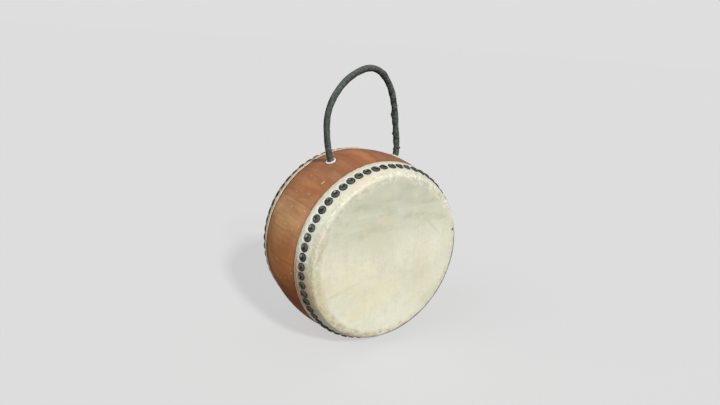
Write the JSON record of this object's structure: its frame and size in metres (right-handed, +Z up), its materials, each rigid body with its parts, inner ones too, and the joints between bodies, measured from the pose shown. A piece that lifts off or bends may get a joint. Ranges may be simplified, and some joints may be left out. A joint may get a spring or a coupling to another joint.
{
  "type": "barrel drum",
  "caption": "Small barrel drum of glued wooden staves with two tacked rawhide heads and a rope carrying handle that tilts.",
  "frame": {"origin": "the point under the belly of the shell that the drum stands on, midway between the heads", "axes": "+Z up through the rope handle, -Y out of the front head along the drum's axis, +X to the right seen from the front"},
  "size_m": [0.2496, 0.1404, 0.3596],
  "materials": {
    "stave_wood": "thin matt varnish on straight-grained hardwood",
    "rawhide": "stretched rawhide, dull with a faint sheen",
    "tack_metal": "black painted domes, worn satin",
    "grommet_plastic": "glossy white",
    "rope_cloth": "charcoal cloth-wrapped rope, matt"
  },
  "bodies": {
    "shell": {"stave_01": "stave_wood", "stave_02": "stave_wood", "stave_03": "stave_wood", "stave_04": "stave_wood", "stave_05": "stave_wood", "stave_06": "stave_wood", "stave_07": "stave_wood", "stave_08": "stave_wood", "stave_09": "stave_wood", "stave_10": "stave_wood", "stave_11": "stave_wood", "stave_12": "stave_wood", "stave_13": "stave_wood", "stave_14": "stave_wood", "stave_15": "stave_wood", "stave_16": "stave_wood", "stave_17": "stave_wood", "stave_18": "stave_wood", "stave_19": "stave_wood", "stave_20": "stave_wood", "front_head": "rawhide", "back_head": "rawhide", "front_tacks": "tack_metal", "back_tacks": "tack_metal", "left_grommet": "grommet_plastic", "right_grommet": "grommet_plastic", "left_rope_end": "rope_cloth", "right_rope_end": "rope_cloth"},
    "handle": {"handle_rope": "rope_cloth"}
  },
  "joints": [
    {"name": "handle_tilt", "type": "hinge", "parent": "shell", "child": "handle", "pos_m": [0, 0.0035, 0.24429], "axis": [1, 0, 0], "range_deg": [-75, 75]}
  ]
}
